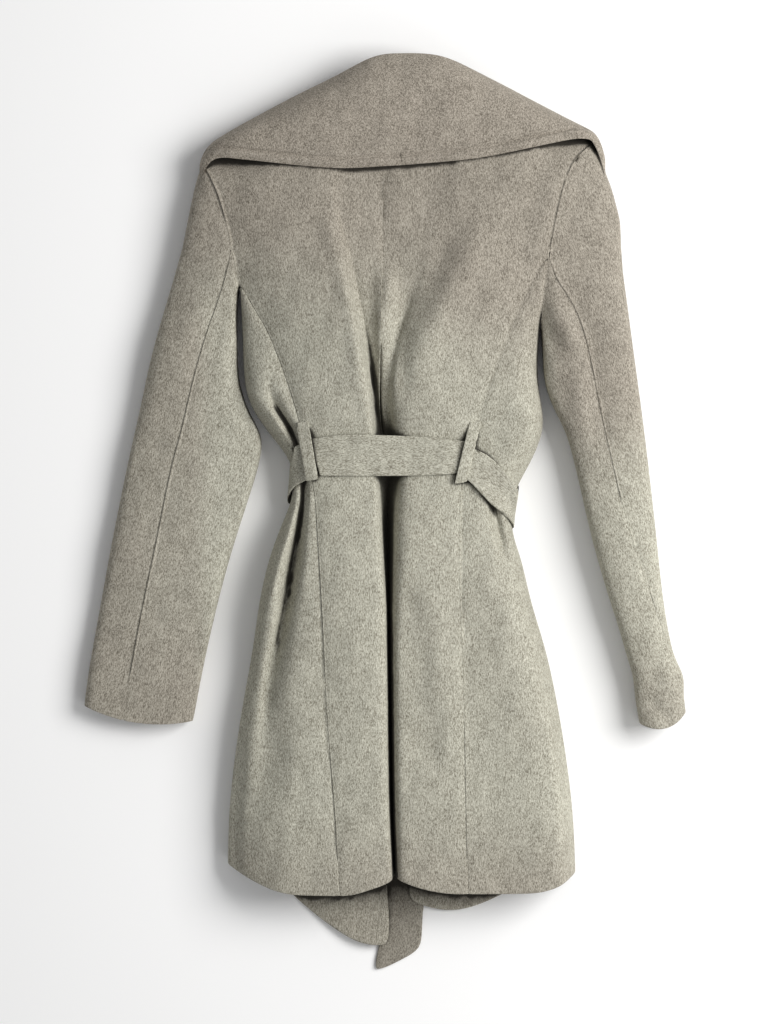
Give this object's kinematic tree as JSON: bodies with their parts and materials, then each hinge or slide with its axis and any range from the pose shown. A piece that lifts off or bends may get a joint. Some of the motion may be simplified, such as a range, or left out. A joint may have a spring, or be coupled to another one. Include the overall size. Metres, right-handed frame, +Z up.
{
  "type": "wrap coat",
  "caption": "Thigh-length wool wrap coat with a wide shawl collar and a tie belt, lying face down.",
  "frame": {"origin": "centre of the bounding box, at the surface the coat lies on", "axes": "+Y from the hem to the collar, +Z up from the surface, +X to the wearer's right"},
  "size_m": [0.6639, 1.0084, 0.0664],
  "materials": {
    "wool": "heathered melton wool",
    "wool_collar": "heathered melton wool, doubled"
  },
  "bodies": {
    "root": {"back_left": "wool", "back_right": "wool", "side_back_left": "wool", "side_back_right": "wool", "front_left": "wool", "front_right": "wool", "sleeve_left_upper": "wool", "sleeve_left_under": "wool", "sleeve_right_upper": "wool", "sleeve_right_under": "wool", "belt_back": "wool", "belt_side_left": "wool", "belt_side_right": "wool", "belt_front_left": "wool", "belt_front_right": "wool", "belt_knot": "wool", "belt_tail_long": "wool", "belt_tail_short": "wool", "belt_loop_left": "wool", "belt_loop_right": "wool", "collar_left": "wool_collar", "collar_right": "wool_collar", "lapel_left": "wool_collar", "lapel_right": "wool_collar"}
  },
  "joints": []
}
